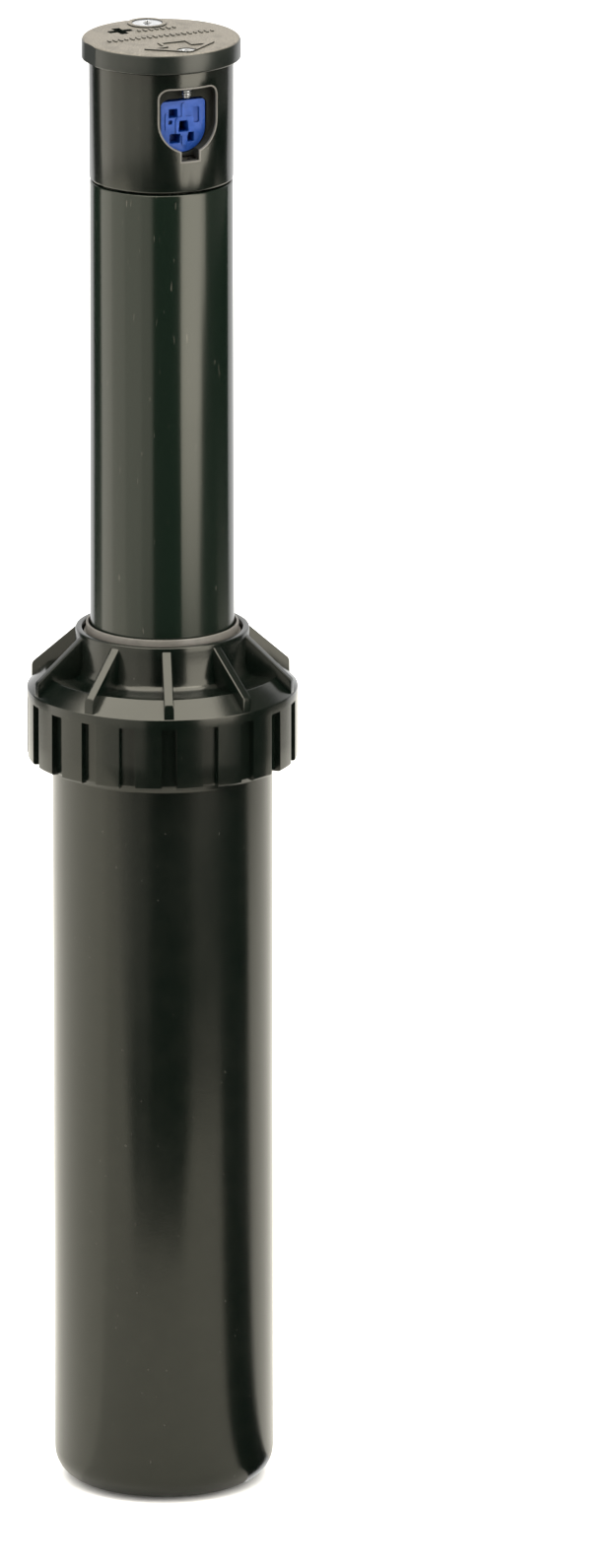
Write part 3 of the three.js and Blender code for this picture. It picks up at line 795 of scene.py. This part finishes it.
def build_riser():
    """Tapered tube with its ratchet flange; teeth stand on the flange under the guide ring."""
    outline = soften(
        [
            (14.2, RISER_FOOT, 0.3),
            (19.1, RISER_FOOT, 0.3),
            (19.1, FLANGE_TOP, 0.3),
            (18.4, FLANGE_TOP),
            (18.3, FLANGE_TOP),
            (16.1, FLANGE_TOP),
            (16, FLANGE_TOP),
            (15.05, FLANGE_TOP, 0.5),
            (15.03, LIP),
            (14.93, LIP + 45),
            (14.82, RISER_TOP, 0.4),
            (7.6, RISER_TOP, 0.2),
            (7.6, RISER_TOP - 2.6, 0.2),
            (13.6, RISER_TOP - 2.6, 0.8),
            (13.6, RISER_FOOT + 2, 0.3),
            (14.2, RISER_FOOT + 2, 0.2),
        ],
        4,
    )
    teeth = 16
    columns = 10  # to a tooth and its gap
    segments = teeth * columns

    def place(i, j):
        radius, height = outline[i]
        on_flange = 16.05 < radius < 18.35 and abs(height - FLANGE_TOP) < 0.01
        if on_flange and 3 <= j % columns <= 6:
            height += 0.5
        return radius, height, TAU * j / segments

    return wrapped_grid("riser_body", len(outline), segments, place)


present(build_riser(), "riser", LOOKS["riser_plastic"], ["riser_tube"])

# ------------------------------------------------------------------ turret

SHELF = TURRET_FOOT + 25.2  # top of the turret's wall, under the cover's skirt
POCKET_FLOOR = -11.3
IN_FRONT = -17  # Y clear of the turret's wall, where cutters start
RIM_BACK = -11  # Y where the blank of the painted-highlight rim ends
WINDOW_WIDTH = 12.9
WINDOW_LOW = TURRET_FOOT + 8.4
WINDOW_HIGH = TURRET_FOOT + 21.9
WINDOW_CORNER = 2
SLOT_HALF = 2.05  # slot below the window
SLOT_LOW = TURRET_FOOT + 6.6
SLOT_HIGH = TURRET_FOOT + 11
NOZZLE_LOW = low("nozzle")
NOZZLE_HIGH = high("nozzle")
SCREW_Y = -12.75
ADJUSTER = (-5.76, 7.88)
LIFT = (2, 11.6)  # middle of the lifting socket


def port_outline(width, bottom, top, corner):
    """Flat top, rounded upper corners and a half-round foot, as (x, z)."""
    half = width / 2
    waist = bottom + half
    steps = 24
    foot = []
    for k in range(steps + 1):
        turn = math.pi * k / steps
        foot.append((-half * math.cos(turn), waist - half * math.sin(turn)))
    upper = [(-half, waist), (half, waist), (half, top, corner), (-half, top, corner)]
    return foot + soften(upper, 6)[2:]


def round_cutter(x, y, radius, bottom, top, sides=48):
    """An upright round bar, to cut with or to add."""
    outline = []
    for k in range(sides):
        turn = TAU * k / sides
        outline.append((x + radius * math.cos(turn), y + radius * math.sin(turn)))
    return prism("cutter", outline, bottom, top)


def build_turret():
    """Turret housing with its window, the nozzle's seat, and holes for the three tools."""
    shell = solid_turned(
        "turret_shell",
        [
            (0, TURRET_FOOT + 21),
            (6.3, TURRET_FOOT + 21, 0.4),
            (6.3, TURRET_FOOT + 7, 0.3),
            (13.35, TURRET_FOOT + 7, 0.8),
            (13.35, TURRET_FOOT, 0.2),
            (TURRET_RADIUS, TURRET_FOOT, 0.42),
            (TURRET_RADIUS, SHELF, 0.2),
            (TURRET_RADIUS - 0.7, SHELF, 0.1),
            (TURRET_RADIUS - 0.7, SHELF + 2.6, 0.3),
            (0, SHELF + 2.6),
        ],
        128,
    )
    pocket = port_outline(WINDOW_WIDTH, WINDOW_LOW, WINDOW_HIGH, WINDOW_CORNER)
    seat = port_outline(10.4, NOZZLE_LOW - 0.25, NOZZLE_HIGH + 0.25, 1.8)
    slot = rectangle(-SLOT_HALF, SLOT_HALF, SLOT_LOW, SLOT_HIGH)
    cutters = [
        facing_prism("cutter", pocket, IN_FRONT, POCKET_FLOOR),
        facing_prism("cutter", slot, IN_FRONT, POCKET_FLOOR + 0.01),
        facing_prism("cutter", seat, -12, -4.5),
        round_cutter(0, SCREW_Y, 1.4, TURRET_FOOT + 20, SHELF + 4),
        round_cutter(*ADJUSTER, 2.2, TURRET_FOOT + 6, SHELF + 4),
        round_cutter(*LIFT, 3.1, SHELF - 4, SHELF + 4),
    ]
    return soften_edges(combine(shell, cutters, "DIFFERENCE"), 0.22, 3, 40)


present(build_turret(), "turret", TURRET_PLASTIC, ["turret_housing"])


def window_cutters(gap):
    """The window and the slot under it, grown by a gap all round."""
    window = port_outline(
        WINDOW_WIDTH + 2 * gap,
        WINDOW_LOW - gap,
        WINDOW_HIGH + gap,
        WINDOW_CORNER + gap,
    )
    slot = rectangle(-SLOT_HALF - gap, SLOT_HALF + gap, SLOT_LOW - gap, SLOT_HIGH)
    return [
        facing_prism("window_rim", window, IN_FRONT, RIM_BACK),
        facing_prism("cutter", slot, IN_FRONT, RIM_BACK - 0.01),
    ]


def build_window_rim():
    """Light edge round the window, just proud of the turret's wall: a painted highlight along the
    window's edge.
    """
    rim, slot = window_cutters(0.3)
    combine(rim, [slot], "UNION")
    combine(rim, window_cutters(-0.03), "DIFFERENCE")
    foot = TURRET_FOOT + 5
    outer = round_cutter(0, 0, TURRET_RADIUS + 0.04, foot, foot + 19, 256)
    combine(rim, [outer], "INTERSECT")
    inner = round_cutter(0, 0, TURRET_RADIUS - 0.5, foot - 1, foot + 20, 256)
    combine(rim, [inner], "DIFFERENCE")
    return soften_edges(rim, 0.07, 2, 40)


present(build_window_rim(), "turret", LOOKS["painted_edge_highlight"])


def relief_marks():
    """Two plain rows of short raised bars across the cover."""
    marks = []
    half = 0.24
    for start, end, y, count in ((-11.6, 11.6, 0.2, 19), (-2.3, 5.6, 6.1, 7)):
        for k in range(count):
            x = mixed(start, end, k / (count - 1))
            tall = 0.85 if k % 3 else 0.55
            bar = rectangle(x - half, x + half, y - tall, y + tall)
            marks.append(prism("relief", bar, COVER_TOP - 0.6, COVER_TOP - 0.05))
    return marks


def build_cover():
    """Soft cover: raised arrow, ring and bars, a hole for each tool, a notch in its edge."""
    face = COVER_TOP - 0.3
    above = COVER_TOP + 1
    cup = solid_turned(
        "cover_cap",
        [
            (0, face - 1.6),
            (14.55, face - 1.6, 0.3),
            (14.55, COVER_FOOT, 0.2),
            (16.5, COVER_FOOT, 0.35),
            (16.42, face, 0.7),
            (12, face),
            (0, face),
        ],
        128,
        5,
    )
    outer = mirrored([(3.3, -5.5), (3.3, -8.9), (7.9, -9.3), (0.5, -15)])
    inner = mirrored([(2.6, -6.2), (2.6, -9.55), (5.5, -9.95), (0.35, -14.2)])
    arrow = prism("relief", outer, face - 0.3, COVER_TOP)
    space = prism("cutter", inner, face - 1, above)
    combine(arrow, [space], "DIFFERENCE")
    rim = round_cutter(*LIFT, 4.1, face - 0.3, COVER_TOP)
    combine(cup, [arrow, rim, *relief_marks()], "UNION")
    arm = rectangle(-2.65, 2.65, -0.9, 0.9, 0.3)
    notch = rectangle(-17, -16.05, -3, 4.5)
    cutters = [
        round_cutter(0, SCREW_Y, 2.05, SHELF, above),
        round_cutter(*LIFT, 3.2, SHELF, above),
        moved(prism("cutter", arm, SHELF, above), *ADJUSTER),
        moved(prism("cutter", arm, SHELF, above), *ADJUSTER, 0, math.pi / 2),
        prism("cutter", notch, COVER_FOOT - 1, above),
    ]
    return soften_edges(combine(cup, cutters, "DIFFERENCE"), 0.13, 2, 40)


def build_lift_plate():
    """Polished plate in the lifting socket, with a keyhole for the lifting key."""
    plate = round_cutter(*LIFT, 3.12, SHELF + 0.2, COVER_TOP - 0.12)
    plate.name = "lift_plate"
    slot = rectangle(-0.45, 0.45, -1.9, 1.9, 0.3)
    slot = moved(prism("cutter", slot, SHELF, COVER_TOP + 1), *LIFT, 0, VIEW_AZIMUTH)
    eye = round_cutter(*LIFT, 0.85, SHELF, COVER_TOP + 1, 24)
    return soften_edges(combine(plate, [slot, eye], "DIFFERENCE"), 0.12, 2, 40)


def build_screw_bush():
    """Metal bush round the throw screw, just below the face of the cover."""
    bush = round_cutter(0, SCREW_Y, 1.98, SHELF + 0.3, COVER_TOP - 0.42)
    bush.name = "screw_bush"
    bore = round_cutter(0, SCREW_Y, 1.32, SHELF, COVER_TOP + 1)
    return soften_edges(combine(bush, [bore], "DIFFERENCE"), 0.1, 2, 40)


present(build_cover(), "turret", LOOKS["cover_rubber"], ["top_cover"])
present(build_lift_plate(), "turret", LOOKS["stainless"])
present(build_screw_bush(), "turret", LOOKS["stainless"])

# ------------------------------------------------------------------ nozzle


def build_nozzle():
    """Push-in insert: a throat right through it, with a raised frame, ribs and five pockets."""
    face = NOZZLE_FACE
    middle = NOZZLE_LOW + 5.4
    body = facing_prism(
        "nozzle_insert",
        port_outline(9.9, NOZZLE_LOW, NOZZLE_HIGH - 0.35, 0.7),
        face,
        face + 4.3,
    )
    raised = [
        facing_prism("rib", slab(0.35, middle + 0.05, 4.1, 4.0, 0.8), face - 0.28, face + 0.5),
        facing_prism("rib", slab(0.1, middle + 3.2, 0.9, 3.4, 0.3), face - 0.28, face + 0.5),
        facing_prism("rib", slab(0.2, middle - 2.7, 1.1, 2.6, 0.3), face - 0.28, face + 0.5),
        facing_prism("rib", slab(-3.7, middle + 1.2, 0.7, 3.6, 0.3), face - 0.2, face + 0.5),
    ]
    throat = soften(
        [
            (-1.15, middle - 1.2, 0.25),
            (1.25, middle - 1.2, 0.25),
            (1.0, middle + 1.25, 0.5),
            (-0.9, middle + 1.25, 0.3),
        ],
        4,
    )
    hollow = [
        facing_prism("cutter", throat, face - 1, face + 6),
        facing_prism("cutter", slab(-2.2, middle + 2.9, 2.0, 1.9, 0.2), face - 1, face + 2.6),
        facing_prism("cutter", slab(-2.9, middle + 1.0, 1.0, 0.9, 0.2), face - 1, face + 0.8),
        facing_prism("cutter", slab(-1.85, middle - 2.5, 2.4, 2.1, 0.3), face - 1, face + 2.6),
        facing_prism("cutter", slab(1.75, middle - 2.4, 1.5, 2.2, 0.3), face - 1, face + 2.6),
        facing_prism("cutter", slab(3.0, middle + 2.2, 1.4, 3.4, 0.4), face - 1, face + 0.5),
    ]
    combine(body, raised, "UNION")
    return soften_edges(combine(body, hollow, "DIFFERENCE"), 0.14, 3, 40)


present(build_nozzle(), "turret", LOOKS["nozzle_blue"], ["nozzle"])


def build_screw():
    """Radius adjustment screw: fine thread, dog point and a hexagon socket."""
    bottom = low("radius_screw")
    top = high("radius_screw")
    pitch = 0.5
    threaded = 1.1  # marks the rows whose radius follows the thread
    sides = 32
    count = int((top - bottom - 0.9) * 6 / pitch)
    rows = [(0, bottom), (0.7, bottom), (0.8, bottom + 0.5)]
    rows += [(threaded, bottom + 0.6 + k * pitch / 6) for k in range(count)]
    rows += [(0.95, top - 0.05), (0.85, top), (0, top)]

    def place(i, j):
        radius, height = rows[i]
        angle = TAU * j / sides
        if radius == threaded:
            crest = abs(2 * ((height / pitch - angle / TAU) % 1) - 1)
            radius = 0.92 + 0.22 * crest
        return radius, height, angle

    screw = capped_grid("throw_screw", len(rows), sides, place)
    key = round_cutter(0, 0, 0.62, top - 1.4, top + 1, 6)
    return moved(combine(screw, [key], "DIFFERENCE"), 0, SCREW_Y)


present(build_screw(), "screw", LOOKS["stainless"], ["radius_screw"])

# ------------------------------------------------------------------ parts kept as the CAD has them

for entry in frame["record"]["subparts"]:
    node = frame["nodes"][entry["node"]]
    if node.hide_render:
        continue
    node.data.materials.clear()
    node.data.materials.append(LOOKS[entry["material_slot"]])
    node.data.shade_smooth()
    node.data.set_sharp_from_angle(angle=math.radians(25))

# ------------------------------------------------------------------ studio

WARM = (1, 0.965, 0.89)
WHITE = (1, 1, 1)
LAMP_TOP = 1.5
LAMP_FOOT = -1.4
KEY_SPLIT = -0.18  # the lamps on the left are dimmer below this height
STRIP_DISTANCE = 0.5
CARD_REACH = 640


def view_direction(azimuth, elevation):
    """Unit vector from the object towards a camera or lamp; azimuth runs from -Y towards +X."""
    level = math.cos(elevation)
    return Vector(
        (math.sin(azimuth) * level, -math.cos(azimuth) * level, math.sin(elevation))
    )


def panel(name, start, end, bottom, top, radiance, color=WARM, distance=1.2):
    """An upright softbox of even brightness, hidden from the camera. It spans the directions
    start..end in degrees round the axis, measured from the camera, and bottom..top in metres."""
    middle = math.radians(start + end) / 2
    lamp = bpy.data.lights.new(name, "AREA")
    lamp.shape = "RECTANGLE"
    lamp.size = 2 * distance * math.tan(math.radians(end - start) / 2)
    lamp.size_y = top - bottom
    lamp.energy = radiance * lamp.size * lamp.size_y * math.pi
    lamp.color = color
    obj = bpy.data.objects.new(name, lamp)
    out = view_direction(VIEW_AZIMUTH + middle, 0)
    obj.location = out * distance + Vector((0, 0, (bottom + top) / 2))
    obj.rotation_euler = (-out).to_track_quat("-Z", "Y").to_euler()
    obj.visible_camera = False
    bpy.context.scene.collection.objects.link(obj)


def overhead(radiance):
    """A level softbox above the object, hidden from the camera."""
    lamp = bpy.data.lights.new("overhead", "AREA")
    lamp.size = 1.7
    lamp.energy = radiance * lamp.size**2 * math.pi
    lamp.color = WARM
    obj = bpy.data.objects.new("overhead", lamp)
    aside = view_direction(VIEW_AZIMUTH - math.radians(30), 0) * 0.2
    obj.location = aside + Vector((0, 0, 1.5))
    obj.visible_camera = False
    bpy.context.scene.collection.objects.link(obj)


def fan(start, end, reach):
    """A fan of (x, y) round the axis, reach(turn) wide. Turns are in degrees from the camera."""
    outline = []
    for turn in range(start, end + 1, 2):
        angle = VIEW_AZIMUTH + math.radians(turn)
        outline.append((reach(turn) * math.sin(angle), -reach(turn) * math.cos(angle)))
    return [*outline, (0, 0)]


def front_reach(turn):
    """How far out the front card reaches: most on the left, least before the object."""
    return CARD_REACH - 430 * ramp(turn, -60, -25) + 105 * ramp(turn, 15, 35)


def card_stock(name, color, shade):
    """Matt paper in two faint tones."""
    look = Look(name, color, 0.9)
    look.stain(look.noise(3, 2), 0.4, 0.6, 0.3, shade)
    return look.material


def build_floor():
    """A pale floor, and two cards just above it that only show in the object's reflections."""
    paper = card_stock("floor_paper", (0.86, 0.86, 0.85), (0.84, 0.84, 0.83))
    pale = card_stock("card_pale", (0.6, 0.59, 0.55), (0.58, 0.57, 0.53))
    dull = card_stock("card_dull", (0.47, 0.46, 0.43), (0.45, 0.44, 0.41))

    square = rectangle(-8000, 8000, -8000, 8000)
    behind = fan(-260, -60, lambda turn: CARD_REACH)
    front = fan(-60, 62, front_reach)
    for name, outline, material in (
        ("floor", square, paper),
        ("card_behind", behind, pale),
        ("card_front", front, dull),
    ):
        is_floor = material is paper
        height = -0.4 if is_floor else -0.1
        corners = [(x, y, height) for x, y in outline]
        sheet = new_object(name, corners, [tuple(range(len(corners)))])
        sheet.data.materials.append(material)
        sheet.visible_shadow = False
        sheet.visible_camera = is_floor
        sheet.visible_diffuse = is_floor
        sheet.visible_glossy = not is_floor


def build_lamps():
    """Soft lamps: four keys on the left, a tall strip on the right, two behind, one above."""
    for name, start, end, above, below in (
        ("key_outer", -112, -86, 2.5, 1.25),
        ("key_middle", -86, -60, 1.9, 0.6),
        ("key_inner", -60, -32, 1.6, 0.52),
        ("key_edge", -32, -14, 1.3, 0.12),
    ):
        panel(name, start, end, KEY_SPLIT, LAMP_TOP, above)
        panel(name + "_low", start, end, LAMP_FOOT, KEY_SPLIT, below)
    for name, start, end, bottom, top, radiance in (
        ("strip", 31, 66, 0.085, 1.1, 5.2),
        ("strip_low", 31, 62, 0.055, 0.085, 3.4),
        ("strip_head", 66, 73, 0.172, 1.1, 4.0),
        ("strip_rim", 73, 128, 0.19, 1.1, 0.22),
    ):
        panel(name, start, end, bottom, top, radiance, distance=STRIP_DISTANCE)
    panel("back_left", -180, -139, LAMP_FOOT, LAMP_TOP, 1.25, WHITE)
    panel("back_right", 133, 180, -0.17, LAMP_TOP, 1.3, WHITE)
    panel("back_right_low", 142, 180, LAMP_FOOT, -0.17, 1.3, WHITE)
    overhead(6.5)


def build_studio():
    build_floor()
    build_lamps()
    world = bpy.data.worlds.new("studio")
    world.use_nodes = True
    sky = world.node_tree.nodes["Background"]
    sky.inputs["Color"].default_value = (1, 1, 1, 1)
    sky.inputs["Strength"].default_value = 0.9
    world.cycles_visibility.glossy = False
    bpy.context.scene.world = world
    bpy.context.scene.view_settings.view_transform = "Standard"


def build_camera():
    elevation = math.radians(16)
    distance = 4.0
    aside = 0.0299  # the object stands left of the picture's middle
    height = 0.1505
    sideways = Vector((math.cos(VIEW_AZIMUTH), math.sin(VIEW_AZIMUTH), 0))
    aim = sideways * aside + Vector((0, 0, height))
    lens = bpy.data.cameras.new("camera")
    lens.lens = 440.2
    lens.sensor_width = 36
    camera = bpy.data.objects.new("camera", lens)
    camera.location = aim + view_direction(VIEW_AZIMUTH, elevation) * distance
    camera.rotation_euler = (aim - camera.location).to_track_quat("-Z", "Y").to_euler()
    bpy.context.scene.collection.objects.link(camera)
    bpy.context.scene.camera = camera


build_studio()
build_camera()
